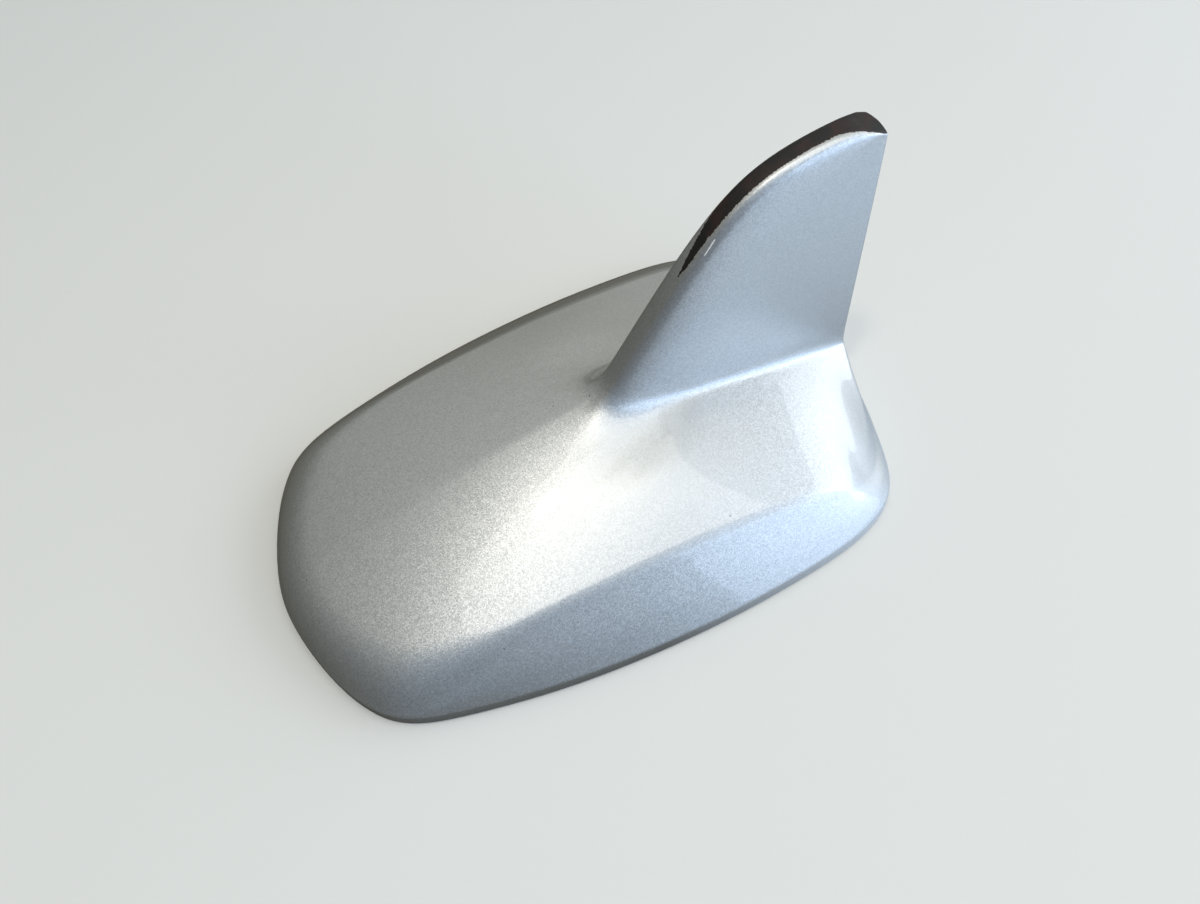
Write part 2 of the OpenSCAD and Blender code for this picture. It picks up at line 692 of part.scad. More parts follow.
module cable_grommet() {
    color("#2a2a2c")
    translate([inlet_x, 0, 0])
    difference() {
        rotate_extrude($fn = 48)
        polygon([[0, 0.4], [grommet_r + 0.7, 0.4], [grommet_r + 0.7, gasket_t], [grommet_r, gasket_t],
                 [grommet_r, plate_z], [grommet_r + 0.8, plate_z], [grommet_r + 0.8, plate_z + 0.5],
                 [grommet_r - 0.6, plate_z + 2.4], [0, plate_z + 2.4]]);
        for (s = [-1, 1])
            translate([0, s * cable_pitch / 2, -1])
            cylinder(r = cable_r, h = plate_z + 5, $fn = 32);
    }
}

module vent_plug() {
    color("#d9d9d4")
    translate([vent_x, 0, gasket_t])
    cylinder(r = vent_r, h = 0.9, $fn = 32);
}

module board_screws() {
    color("#a9acae")
    for (p = board_screw_points)
        translate([p[0], p[1], 0])
        difference() {
            union() {
                translate([0, 0, gasket_t + 1.4])
                cylinder(r = board_screw_r, h = board_top - gasket_t - 1.4, $fn = 24);
                translate([0, 0, board_top])
                cylinder(r1 = 2.2, r2 = 1.7, h = 1.4, $fn = 32);
            }
            translate([0, 0, board_top + 0.6])
            cylinder(r = 0.9, h = 2, $fn = 6);
        }
}

module cover_screws() {
    color("#8f9294")
    for (p = cover_screw_points)
        translate([p[0], p[1], 0])
        difference() {
            union() {
                translate([0, 0, gasket_t])
                cylinder(r = head_r, h = head_h, $fn = 32);
                translate([0, 0, gasket_t + head_h])
                cylinder(r = cover_screw_r, h = p[2] - boss_roof - gasket_t - head_h - 0.4, $fn = 24);
            }
            translate([0, 0, gasket_t - 1])
            cylinder(r = 0.55 * head_r, h = 1.8, $fn = 6);
        }
}

cover();
cover_seal();
base_plate();
roof_gasket();
main_board();
gps_patch();
patch_electrode();
patch_feed_pin();
patch_tape();
amplifier_can();
filter_can();
board_components();
contact_strip();
fin_board();
fin_foil();
fin_bracket();
foam_pad();
threaded_bush();
earth_washer();
cable_grommet();
vent_plug();
board_screws();
cover_screws();
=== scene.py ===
# Vehicle roof antenna: a pad-shaped cover and its upright fin in one painted moulding, on a rubber gasket.
import math

import bmesh
import bpy
from mathutils import Matrix, Vector, kdtree


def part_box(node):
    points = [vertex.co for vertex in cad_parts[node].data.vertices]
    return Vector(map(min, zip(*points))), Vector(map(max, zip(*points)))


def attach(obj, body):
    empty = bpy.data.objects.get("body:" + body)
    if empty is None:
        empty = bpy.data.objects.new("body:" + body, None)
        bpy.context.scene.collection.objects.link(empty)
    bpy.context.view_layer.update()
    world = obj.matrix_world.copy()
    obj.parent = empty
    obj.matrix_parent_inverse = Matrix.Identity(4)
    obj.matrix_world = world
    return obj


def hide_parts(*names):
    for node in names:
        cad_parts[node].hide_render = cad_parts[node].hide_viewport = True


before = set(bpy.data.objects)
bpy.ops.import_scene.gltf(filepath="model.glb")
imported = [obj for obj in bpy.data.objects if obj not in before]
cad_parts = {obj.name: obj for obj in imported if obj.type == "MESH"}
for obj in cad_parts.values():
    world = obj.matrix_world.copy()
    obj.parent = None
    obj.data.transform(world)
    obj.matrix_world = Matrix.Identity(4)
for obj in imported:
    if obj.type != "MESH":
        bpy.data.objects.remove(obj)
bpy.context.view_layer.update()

# Camera: held close above the near front of the antenna, so the nose looms and the fin leans back.
# Its place is given from the antenna's own frame, and its lens from the picture's angle of view.
MM = 0.001
picture_width = 1200
focal_pixels = 836.3
sensor_width = 36.0
nearest_shown = 10 * MM
view_target = Vector((6.89, 2.0, 0.6)) * MM
view_distance = 164.8 * MM
view_azimuth = math.radians(-20.08)
view_elevation = math.radians(60.28)
view_roll = math.radians(-7.41)

view_back = Vector((math.sin(view_azimuth) * math.cos(view_elevation),
                    -math.cos(view_azimuth) * math.cos(view_elevation),
                    math.sin(view_elevation)))
level_right = Vector((math.cos(view_azimuth), math.sin(view_azimuth), 0))
level_up = view_back.cross(level_right)
view_right = level_right * math.cos(view_roll) + level_up * math.sin(view_roll)
view_up = level_up * math.cos(view_roll) - level_right * math.sin(view_roll)
camera_data = bpy.data.cameras.new("photo_camera")
camera_data.sensor_width = sensor_width
camera_data.lens = focal_pixels / picture_width * sensor_width
camera_data.clip_start = nearest_shown
camera = bpy.data.objects.new("photo_camera", camera_data)
bpy.context.scene.collection.objects.link(camera)
turn = Matrix((view_right, view_up, view_back)).transposed().to_4x4()
camera.matrix_world = Matrix.Translation(view_target + view_back * view_distance) @ turn
bpy.context.scene.camera = camera

# Cover: one injection moulding of black plastic, skirt, deck and fin together, sprayed silver and lacquered.
# Its shell is lofted from the rim's plan through a shoulder line to the leaning sections of the fin.
# Paint has been scraped off the top of the fin down to the black plastic.
cover_low, cover_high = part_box("cover")
half_length = (cover_high.x - cover_low.x) / 2 / MM
half_width = 39.0
rim_z = cover_low.z / MM
fin_top_z = cover_high.z / MM
lip_z = rim_z + 2.6
lip_inset = 0.25
rim_bevel = 0.3
cover_wall = 2.2
fin_wall = 1.7
# the inner skin follows these shares of the wall inwards and downwards, square to the slope
inner_shoulder_in = 0.7
inner_shoulder_down = 0.85
inner_lip_down = 0.41
side_rounding = 2.0
nose_rounding = 9.0
nose_rounding_ends = 0.2
rounding_change = 0.22
root_tangent = 5.0
rounding_steps = 6
most_of_side = 0.9
most_of_root = 0.6
deck_crown = 2.1
deck_power = 1.75
ridge_keen = 0.3
spread_lead = 4.0
spread_length = 14.0
rear_fade_from = 0.74
rear_fade_length = 0.14
skirt_bulge = 0.4
bulge_lean = 0.7
half_steps = 38
around = 2 * half_steps
search_steps = 14
rim_plan = [(-1, 0), (-0.966, 0.3), (-0.888, 0.585), (-0.775, 0.765), (-0.56, 0.868), (-0.25, 0.955),
            (0.1, 0.997), (0.42, 0.993), (0.7, 0.948), (0.868, 0.82), (0.95, 0.54), (0.988, 0.27), (1, 0)]
# inset from the rim and height over it of the outer edge's points; then the shoulder's inset from the rim and
# its height above the roof, from the nose to the rear end
rim_section = [(1.2, 0), (0.3, 0), (0, 0), (0, 0.3), (0.05, 1.3), (0.18, 2.2)]
shoulder_line = [(3, 8.8), (3, 8.8), (4.4, 9.2), (5.6, 10), (7.1, 11.6), (9.9, 13.5), (10.5, 14),
                 (9.5, 12.6), (7.4, 10), (5.5, 7), (2.4, 6.6), (1.8, 9), (0.8, 11.4)]
skirt_share = 0.12
deck_shares = [0.2, 0.29, 0.38, 0.48, 0.58, 0.68, 0.77]
deck_first_share = 0.12
deck_last_share = 0.84
fin_nose_section = [(0, 0), (0.005, 0.22), (0.02, 0.41), (0.07, 0.55), (0.18, 0.7), (0.5, 0.89), (1, 1)]
nose_share = 0.36
back_share = 0.9
back_rounding = 0.4
fin_foot = Vector((7.2, 23.4))
fin_rake = math.radians(57)
rake_reach = 0.9
crest_sag = 0.7
fin_crest = Vector((41.5, fin_top_z - crest_sag))
crest_lead = Vector((12, 2.2))
crest_share = 0.72
top_fall_from = 0.7
rear_drop = 1.3
rear_top_length = 3.4
fin_foot_thickness = 8.4
fin_top_thickness = 5.6
fin_nose_foot = 15
fin_nose_top = 1.8
back_foot = Vector((half_length - 0.7, 11.8))
back_top = Vector((half_length - 2.9, fin_top_z - 1.2 * rear_drop))
fin_first_share = 0.12
outer_shares = [0.17, 0.24, 0.31, 0.38, 0.45, 0.52, 0.58, 0.64, 0.69, 0.735, 0.78, 0.82, 0.86, 0.895, 0.925,
                0.95, 0.97, 0.985, 1]
inner_shares = [0.25, 0.4, 0.55, 0.7, 0.8, 0.88, 0.92]


def mix(a, b, share):
    return a + (b - a) * share


def eased(share):
    share = min(max(share, 0), 1)
    return share * share * (3 - 2 * share)


def spline(points, share, mirrored):
    """Smooth curve through a list of points; a mirrored one leaves its ends square to the centre line."""
    points = [Vector(p) for p in points]
    last = len(points) - 1
    place = min(max(share, 0), 1) * last
    i = min(int(place), last - 1)
    f = place - i
    flip = Vector((1, -1)) if mirrored else None
    b, c = points[i], points[i + 1]
    a = points[i - 1] if i > 0 else (points[1] * flip if mirrored else b)
    d = points[i + 2] if i + 2 <= last else (points[last - 1] * flip if mirrored else c)
    square, cube = 2 * a - 5 * b + 4 * c - d, 3 * b - a - 3 * c + d
    return 0.5 * (2 * b + (c - a) * f + square * f * f + cube * f ** 3)


def rim_point(u):
    """The rim's plan: u runs from the nose at 0 along one side to the rear end at 1."""
    p = spline(rim_plan, u, True)
    return Vector((p.x * half_length, p.y * half_width))


def rim_inward(u):
    step = 0.01
    before = rim_point(u - step) if u > step else rim_point(step) * Vector((1, -1))
    after = rim_point(u + step) if u < 1 - step else rim_point(1 - step) * Vector((1, -1))
    way = (after - before).normalized()
    return Vector((way.y, -way.x))


def on_rim(u, inset, z):
    return (rim_point(u) + inset * rim_inward(u)).to_3d() + Vector((0, 0, z))


def shoulder(u, wall):
    """The edge between skirt and deck, before it is rounded; the inner skin has a wall, the outer has 0."""
    inset, z = spline(shoulder_line, u, False)
    return on_rim(u, inset + inner_shoulder_in * wall, z - inner_shoulder_down * wall)


def fin_front(w):
    """The fin's leading edge and top: w runs from its foot at 0 over the crest to its rear top at 1."""
    if w < crest_share:
        t = w / crest_share
        a = fin_foot
        b = a + rake_reach * (fin_top_z - a.y) * Vector((math.cos(fin_rake), math.sin(fin_rake)))
        d = fin_crest
        c = d - crest_lead
        ab, bc, cd = mix(a, b, t), mix(b, c, t), mix(c, d, t)
        return mix(mix(ab, bc, t), mix(bc, cd, t), t)
    f = (w - crest_share) / (1 - crest_share)
    rise = crest_sag * (1 - min(1, f / top_fall_from)) ** 2
    fall = 0.5 * rear_drop * (max(0, f - top_fall_from) / (1 - top_fall_from)) ** 2
    return Vector((mix(fin_crest.x, back_top.x - rear_top_length, f), fin_top_z - rise - fall))


def fin_section(w, u, wall, side_wall):
    """A point of the leaning section w of the fin: a blunt nose, flat sides and a rounded back."""
    front = fin_front(w) + Vector((wall, -wall))
    back = mix(back_foot, back_top, w) - Vector((wall, wall))
    chord = (back - front).length
    nose = mix(fin_nose_foot, fin_nose_top, w)
    half = mix(fin_foot_thickness, fin_top_thickness, w) / 2 - side_wall
    if u < nose_share:
        n = spline(fin_nose_section, u / nose_share, False)
        run, y = nose * n.x, half * n.y
    elif u < back_share:
        run, y = mix(nose, chord - back_rounding, (u - nose_share) / (back_share - nose_share)), half
    else:
        t = (u - back_share) / (1 - back_share)
        run, y = mix(chord - back_rounding, chord, math.sin(math.pi / 2 * t)), half * (1 - t * t)
    p = front + (back - front) * (run / chord)
    return Vector((p.x, y, p.y))


def towards(b, a, reach, most):
    """The point that lies a reach from b towards a, or at most the given share of the way."""
    return b + (a - b).normalized() * min(reach, most * (a - b).length)


def rounded(a, b, c, tangent, most):
    """Points along the rounded corner at b, between the ways to a and c."""
    p = towards(b, a, tangent, most)
    q = towards(b, c, tangent, most)
    shares = [k / rounding_steps for k in range(rounding_steps + 1)]
    return [mix(mix(p, b, t), mix(b, q, t), t) for t in shares]


def shoulder_share(x, wall):
    """Share of the half ring at which the shoulder has the given x, found by halving."""
    low, high = 0.0, 1.0
    for _ in range(search_steps):
        u = (low + high) / 2
        if shoulder(u, wall).x < x:
            low = u
        else:
            high = u
    return u


def deck_height(x, y, wall):
    """The deck at any place: a ridge in the middle, up to the fin, and a curve down to the shoulder."""
    tip = shoulder(0, wall)
    way = (x - tip.x) / (fin_foot.x - tip.x)
    edge = shoulder(shoulder_share(x, wall), wall)
    if way < 1:
        ridge = mix(tip.z, fin_foot.y - wall, way) + deck_crown * 4 * way * (1 - way)
    else:
        ridge = mix(fin_foot.y, back_foot.y, (x - fin_foot.x) / (back_foot.x - fin_foot.x)) - wall
    half = fin_foot_thickness / 2 * eased((x - fin_foot.x + spread_lead) / spread_length)
    q = min(max((y - half) / max(edge.y - half, 1), 0), 1)
    keen = ridge_keen * eased(way)
    return edge.z + (ridge - edge.z) * (1 - (1 - keen) * q ** deck_power - keen * q)


def deck_point(edge, root, v, wall, u):
    """A point of the deck between shoulder and root; at the rear it runs straight from one to the other."""
    p = mix(edge, root, v)
    straight = eased((u - rear_fade_from) / rear_fade_length)
    return Vector((p.x, p.y, mix(deck_height(p.x, p.y, wall), p.z, straight)))


def cover_line(u, wall, side_wall, fin_shares):
    """Points up one line of the cover, from the rim to the top of the fin."""
    s = shoulder(u, wall)
    root = fin_section(0, u, wall, side_wall)
    top = on_rim(u, lip_inset + wall, lip_z - inner_lip_down * wall)
    near = deck_point(s, root, deck_first_share, wall, u)
    foot = deck_point(s, root, deck_last_share, wall, u)
    up = fin_section(fin_first_share, u, wall, side_wall)
    rounding = mix(nose_rounding, side_rounding, eased((u - nose_rounding_ends) / rounding_change))
    skirt_end = towards(s, top, rounding, most_of_side)
    bulge = bulge_lean * skirt_bulge * (skirt_end - top).length / (s - top).length
    out = rim_inward(u) * -bulge
    middle = mix(top, skirt_end, 0.5) + Vector((out.x, out.y, bulge))
    if wall:
        line = [on_rim(u, wall, rim_z), on_rim(u, wall, rim_z + rim_bevel), top]
    else:
        line = [on_rim(u, inset, rim_z + height) for inset, height in rim_section]
        line += [top, mix(top, middle, skirt_share)]
    line.append(middle)
    line += rounded(top, s, near, rounding, most_of_side)
    line += [deck_point(s, root, v, wall, u) for v in deck_shares]
    line += rounded(foot, root, up, root_tangent, most_of_root)
    return line + [fin_section(w, u, wall, side_wall) for w in fin_shares]


def cover_rings(wall, side_wall, fin_shares):
    """One skin of the cover as closed rings, from the rim up; the far side mirrors the near one."""
    lines = [cover_line(j / half_steps, wall, side_wall, fin_shares) for j in range(half_steps + 1)]
    mirror = Vector((1, -1, 1))
    return [[lines[j][i] if j <= half_steps else lines[around - j][i] * mirror for j in range(around)]
            for i in range(len(lines[0]))]


def soften(rings, centre, reach, passes, pull):
    """Evens out the outer skin round one place and its mirror place, as hand finishing of the mould does."""
    for _ in range(passes):
        evened = [ring[:] for ring in rings]
        for i in range(1, len(rings) - 1):
            for j in range(around):
                p = rings[i][j]
                away = (Vector((p.x, abs(p.y), p.z)) - centre).length
                if away < reach:
                    beside = rings[i][j - 1] + rings[i][(j + 1) % around] + rings[i - 1][j] + rings[i + 1][j]
                    evened[i][j] = mix(p, beside / 4, pull * eased(2 * (1 - away / reach)))
        rings = evened
    return rings


foot_side = Vector((fin_foot.x + 3, 8, fin_foot.y - 1))
outer_rings = soften(cover_rings(0, 0, outer_shares), foot_side, reach=9, passes=14, pull=0.6)
inner_rings = cover_rings(cover_wall, fin_wall, inner_shares)
rings = inner_rings[::-1] + outer_rings
cover_points = [p * MM for ring in rings for p in ring]
cover_faces = [(i * around + j, i * around + (j + 1) % around,
                (i + 1) * around + (j + 1) % around, (i + 1) * around + j)
               for i in range(len(rings) - 1) for j in range(around)]
for start, outwards in ((0, False), ((len(rings) - 1) * around, True)):
    for j in range(half_steps):
        a, b = start + j, start + j + 1
        c, d = start + (around - j - 1) % around, start + (around - j) % around
        face = [a, b, c, d] if 0 < j < half_steps - 1 else ([a, b, c] if j == 0 else [a, b, d])
        cover_faces.append(face if outwards else face[::-1])
cover_mesh = bpy.data.meshes.new("painted_cover")
cover_mesh.from_pydata(cover_points, [], cover_faces)

# every point of the cover knows how far along the fin's crest it lies and how deep under it, for the scrape
crest_steps = 200
rear_steps = 10
crest_line = [fin_front(k / crest_steps) for k in range(crest_steps + 1)]
crest_end = crest_line[-1]
crest_line += [mix(crest_end, back_top, k / rear_steps) for k in range(1, rear_steps + 1)]
crest_run = [0.0]
for a, b in zip(crest_line, crest_line[1:]):
    crest_run.append(crest_run[-1] + (b - a).length)
nearest = kdtree.KDTree(len(crest_line))
for k, p in enumerate(crest_line):
    nearest.insert((p.x, p.y, 0), k)
nearest.balance()
crest_place = cover_mesh.attributes.new("crest_place", "FLOAT", "POINT")
crest_depth = cover_mesh.attributes.new("crest_depth", "FLOAT", "POINT")
for k, p in enumerate(cover_points):
    _, index, depth = nearest.find((p.x / MM, p.z / MM, 0))
    crest_place.data[k].value = crest_run[index]
    crest_depth.data[k].value = depth
cover_mesh.polygons.foreach_set("use_smooth", [True] * len(cover_mesh.polygons))
painted_cover = bpy.data.objects.new("painted_cover", cover_mesh)
bpy.context.scene.collection.objects.link(painted_cover)
shell = bmesh.new()
shell.from_mesh(cover_mesh)
bmesh.ops.recalc_face_normals(shell, faces=shell.faces)
shell.to_mesh(cover_mesh)
shell.free()
smooth = painted_cover.modifiers.new("smooth", "SUBSURF")
smooth.levels = 2
smooth.render_levels = 2


def linear_colour(hex_code):
    """An sRGB hex colour as linear red, green, blue and alpha."""
    parts = [int(hex_code[k:k + 2], 16) / 255 for k in (1, 3, 5)]
    return tuple(c / 12.92 if c <= 0.04045 else ((c + 0.055) / 1.055) ** 2.4 for c in parts) + (1.0,)


def add_node(tree, kind, inputs=None, **settings):
    """Adds a node with its settings and its inputs, which are given by name or number.

    An input takes a plain value, a hex colour, another node's output, or another node, which then gives
    its first output in use. A colour mix has its factor at 0 and its two colours at 6 and 7.
    """
    node = tree.nodes.new(kind)
    for name, value in settings.items():
        setattr(node, name, value)
    for name, value in (inputs or {}).items():
        if isinstance(value, bpy.types.Node):
            value = next(socket for socket in value.outputs if socket.enabled)
        if isinstance(value, bpy.types.NodeSocket):
            tree.links.new(value, node.inputs[name])
        else:
            node.inputs[name].default_value = linear_colour(value) if isinstance(value, str) else value
    return node


def new_material(name):
    """An empty node material and its tree."""
    material = bpy.data.materials.new(name)
    material.use_nodes = True
    material.node_tree.nodes.clear()
    return material, material.node_tree


# silver metallic basecoat under clear lacquer: flakes lie nearly flat and glitter where a light is close to
# mirrored, and the lacquer over them gives a second, sharper reflection with a faint orange peel; real flakes
# are too fine to show, so they are drawn as coarse as they need to be
flake_size = 0.17
flake_lean = 0.1
peel_size = 1.6
peel_depth = 0.004
silver_paint, tree = new_material("silver_basecoat_under_lacquer")
where = add_node(tree, "ShaderNodeTexCoord").outputs["Object"]
flakes = add_node(tree, "ShaderNodeTexVoronoi", {"Vector": where, "Scale": 1 / (flake_size * MM)})
tilt = add_node(tree, "ShaderNodeVectorMath", {0: flakes.outputs["Color"], 1: (0.5, 0.5, 0.5)},
                operation="SUBTRACT")
lean = add_node(tree, "ShaderNodeVectorMath", {0: tilt, "Scale": flake_lean}, operation="SCALE")
facing = add_node(tree, "ShaderNodeNewGeometry").outputs["Normal"]
leaning = add_node(tree, "ShaderNodeVectorMath", {0: facing, 1: lean}, operation="ADD")
flake_normal = add_node(tree, "ShaderNodeVectorMath", {0: leaning}, operation="NORMALIZE")
peel = add_node(tree, "ShaderNodeTexNoise", {"Vector": where, "Scale": 1 / (peel_size * MM), "Detail": 1.0})
peel_bump = add_node(tree, "ShaderNodeBump", {"Height": peel, "Distance": peel_depth * MM, "Strength": 0.5})
grain = add_node(tree, "ShaderNodeSeparateColor", {"Color": flakes.outputs["Color"]})
silver = add_node(tree, "ShaderNodeMix", {0: grain, 6: "#B6B9BA", 7: "#CBCDCE"}, data_type="RGBA")

# the scrape: along the fin's top the paint is gone, down to black plastic with a slight red-brown tinge; its
# ragged edge is pale, partly the broken paint and partly a painted highlight; it starts as a point, widens
# over the far side, and at the rear over the near side; each margin is the distance in mm inside one of its
# edges, and the smallest of them counts
scrape_from = 21.8
scrape_place = next(r for r, p in zip(crest_run, crest_line) if p.x > scrape_from)
scrape_end = crest_run[-1]
scrape_depth = 1.9
start_slope = 0.35
near_side = {"From Min": scrape_place, "From Max": scrape_place + 3, "To Min": 0.7, "To Max": 1.0}
near_side_rear = {"From Min": scrape_end - 8, "From Max": scrape_end - 1, "To Min": 0.0, "To Max": 1.7}
far_side = {"From Min": scrape_place, "From Max": scrape_place + 20, "To Min": -0.5, "To Max": 3.4}
ragged_size = 0.5
ragged_reach = 0.8
place = add_node(tree, "ShaderNodeAttribute", attribute_name="crest_place").outputs["Fac"]
depth = add_node(tree, "ShaderNodeAttribute", attribute_name="crest_depth").outputs["Fac"]
across = add_node(tree, "ShaderNodeSeparateXYZ", {"Vector": where}).outputs["Y"]
across_mm = add_node(tree, "ShaderNodeMath", {0: across, 1: 1 / MM}, operation="MULTIPLY")
near_start = add_node(tree, "ShaderNodeMapRange", {"Value": place, **near_side})
near_rear = add_node(tree, "ShaderNodeMapRange", {"Value": place, **near_side_rear})
near_reach = add_node(tree, "ShaderNodeMath", {0: near_start, 1: near_rear}, operation="ADD")
near_margin = add_node(tree, "ShaderNodeMath", {0: across_mm, 1: near_reach}, operation="ADD")
far_reach = add_node(tree, "ShaderNodeMapRange", {"Value": place, **far_side})
far_margin = add_node(tree, "ShaderNodeMath", {0: far_reach, 1: across_mm}, operation="SUBTRACT")
depth_margin = add_node(tree, "ShaderNodeMath", {0: scrape_depth, 1: depth}, operation="SUBTRACT")
from_start = add_node(tree, "ShaderNodeMath", {0: place, 1: scrape_place}, operation="SUBTRACT")
start_margin = add_node(tree, "ShaderNodeMath", {0: from_start, 1: start_slope}, operation="MULTIPLY")
side_margin = add_node(tree, "ShaderNodeMath", {0: near_margin, 1: far_margin}, operation="MINIMUM")
end_margin = add_node(tree, "ShaderNodeMath", {0: depth_margin, 1: start_margin}, operation="MINIMUM")
margin = add_node(tree, "ShaderNodeMath", {0: side_margin, 1: end_margin}, operation="MINIMUM")
ragged = add_node(tree, "ShaderNodeTexNoise", {"Vector": where, "Scale": 1 / (ragged_size * MM),
                                               "Detail": 4.0, "Roughness": 0.7})
ragged_centred = add_node(tree, "ShaderNodeMath", {0: ragged, 1: 0.5}, operation="SUBTRACT")
ragged_shift = add_node(tree, "ShaderNodeMath", {0: ragged_centred, 1: ragged_reach}, operation="MULTIPLY")
ragged_margin = add_node(tree, "ShaderNodeMath", {0: margin, 1: ragged_shift}, operation="ADD")
bare = add_node(tree, "ShaderNodeMapRange", {"Value": ragged_margin, "From Min": -0.03, "From Max": 0.05})
# pale band just outside the bare plastic: the broken paint's edge, and partly a painted highlight
chipped_edge_and_highlight = add_node(tree, "ShaderNodeMapRange", {"Value": ragged_margin, "From Min": -0.12, "From Max": -0.03,
                                                "To Max": 0.35})

# a few grains of dirt on the deck and skirt, and one fine scratch beside the scrape's start, all in mm
dirt_places = ((-51.2, -1.4), (-57.6, -7.5), (-25.3, -28.8), (-0.4, 2.5), (5.7, 0.3), (18.1, -26.9))
dirt_radius = 0.16
dirt_cover = 0.85
farthest_asked = 1.0
scratch_start = Vector((25.8, -1.9, 49.8))
scratch_end = Vector((27.4, -1.8, 52.0))
scratch_half_width = 0.13
flat_place = add_node(tree, "ShaderNodeVectorMath", {0: where, 1: (1 / MM, 1 / MM, 0)}, operation="MULTIPLY")
dirt_distance = farthest_asked
for x, y in dirt_places:
    apart = add_node(tree, "ShaderNodeVectorMath", {0: flat_place, 1: (x, y, 0)}, operation="DISTANCE")
    dirt_distance = add_node(tree, "ShaderNodeMath", {0: dirt_distance, 1: apart}, operation="MINIMUM")
dirt = add_node(tree, "ShaderNodeMapRange", {"Value": dirt_distance, "From Min": dirt_radius,
                                             "From Max": 0.5 * dirt_radius, "To Max": dirt_cover})
scratch_run = scratch_end - scratch_start
scratch_way = scratch_run.normalized()
mm_place = add_node(tree, "ShaderNodeVectorMath", {0: where, "Scale": 1 / MM}, operation="SCALE")
along = add_node(tree, "ShaderNodeVectorMath", {0: mm_place, 1: scratch_start}, operation="SUBTRACT")
run = add_node(tree, "ShaderNodeVectorMath", {0: along, 1: scratch_way}, operation="DOT_PRODUCT")
held = add_node(tree, "ShaderNodeClamp", {"Value": run, "Min": 0.0, "Max": scratch_run.length})
foot_point = add_node(tree, "ShaderNodeVectorMath", {0: scratch_way, "Scale": held}, operation="SCALE")
off_line = add_node(tree, "ShaderNodeVectorMath", {0: along, 1: foot_point}, operation="DISTANCE")
scratch = add_node(tree, "ShaderNodeMapRange", {"Value": off_line, "From Min": scratch_half_width,
                                                "From Max": 0.5 * scratch_half_width})

# the paint's layers: silver, its pale chipped edge (partly a painted highlight), the scratch, the dirt, and
# over them the bare black plastic
paint_metal = 0.82
paint_roughness = 0.44
bare_roughness = 0.62
bare_coat = 0.05
scorch_size = 3
scorch = add_node(tree, "ShaderNodeTexNoise", {"Vector": where, "Scale": 1 / (scorch_size * MM),
                                               "Detail": 3.0})
scorched = add_node(tree, "ShaderNodeMapRange", {"Value": scorch, "From Min": 0.45, "From Max": 0.7})
black = add_node(tree, "ShaderNodeMix", {0: scorched, 6: "#0B0A0B", 7: "#2C1613"}, data_type="RGBA")
# D9D6D0 paints the scrape's edge pale: the broken paint, and partly a painted highlight
edged = add_node(tree, "ShaderNodeMix", {0: chipped_edge_and_highlight, 6: silver, 7: "#D9D6D0"}, data_type="RGBA")
worn = add_node(tree, "ShaderNodeMix", {0: scratch, 6: edged, 7: "#F4F1EA"}, data_type="RGBA")
marked = add_node(tree, "ShaderNodeMix", {0: dirt, 6: worn, 7: "#2A2622"}, data_type="RGBA")
colour = add_node(tree, "ShaderNodeMix", {0: bare, 6: marked, 7: black}, data_type="RGBA")
laid_bare = add_node(tree, "ShaderNodeMath", {0: bare, 1: scratch}, operation="MAXIMUM")
unmetallic = add_node(tree, "ShaderNodeMath", {0: laid_bare, 1: dirt}, operation="MAXIMUM")
metallic = add_node(tree, "ShaderNodeMapRange", {"Value": unmetallic, "To Min": paint_metal, "To Max": 0.0})
roughness = add_node(tree, "ShaderNodeMapRange", {"Value": bare, "To Min": paint_roughness,
                                                  "To Max": bare_roughness})
coat = add_node(tree, "ShaderNodeMapRange", {"Value": bare, "To Min": 1.0, "To Max": bare_coat})
paint = add_node(tree, "ShaderNodeBsdfPrincipled", {
    "Base Color": colour, "Metallic": metallic, "Roughness": roughness, "Normal": flake_normal,
    "Coat Weight": coat, "Coat Roughness": 0.03, "Coat Normal": peel_bump})
add_node(tree, "ShaderNodeOutputMaterial", {"Surface": paint})
cover_mesh.materials.append(silver_paint)
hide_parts("cover")
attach(painted_cover, "root")

# Threaded bush: turned steel, zinc plated and yellow passivated. It is pressed into the base plate from below
# and takes the one roof bolt. Its M6 thread is one ridge on a helix inside the bore.
bush_low, bush_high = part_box("threaded_bush")
bush_axis = Vector(((bush_low.x + bush_high.x) / 2, 0, 0))
bush_radius = 4.5
bush_height = 8.0
bush_chamfer = 0.5
bush_segments = 64
flange_radius = (bush_high.x - bush_low.x) / 2 / MM
flange_thickness = 0.5
flange_bevel = 0.1
thread_root = 2.97
thread_pitch = 1.0
thread_depth = 0.47
thread_start = 0.4
thread_runout = 0.8


def turned(name, profile, axis, segments):
    """A closed ring turned round an upright axis from a closed profile of radius and height in mm."""
    angles = [2 * math.pi * k / segments for k in range(segments)]
    points = [axis + Vector((r * math.cos(angle), r * math.sin(angle), z)) * MM
              for angle in angles for r, z in profile]
    n = len(profile)
    sides = [(k * n, (k + 1) % segments * n) for k in range(segments)]
    faces = [(a + i, b + i, b + (i + 1) % n, a + (i + 1) % n) for a, b in sides for i in range(n)]
    mesh = bpy.data.meshes.new(name)
    mesh.from_pydata(points, [], faces)
    piece = bpy.data.objects.new(name, mesh)
    bpy.context.scene.collection.objects.link(piece)
    return piece


def finish_piece(piece, material, node_names):
    """Gives a new piece its material, hides the CAD nodes it replaces and hangs it on the root body."""
    piece.data.materials.clear()
    piece.data.materials.append(material)
    if node_names:
        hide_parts(*node_names)
    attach(piece, "root")


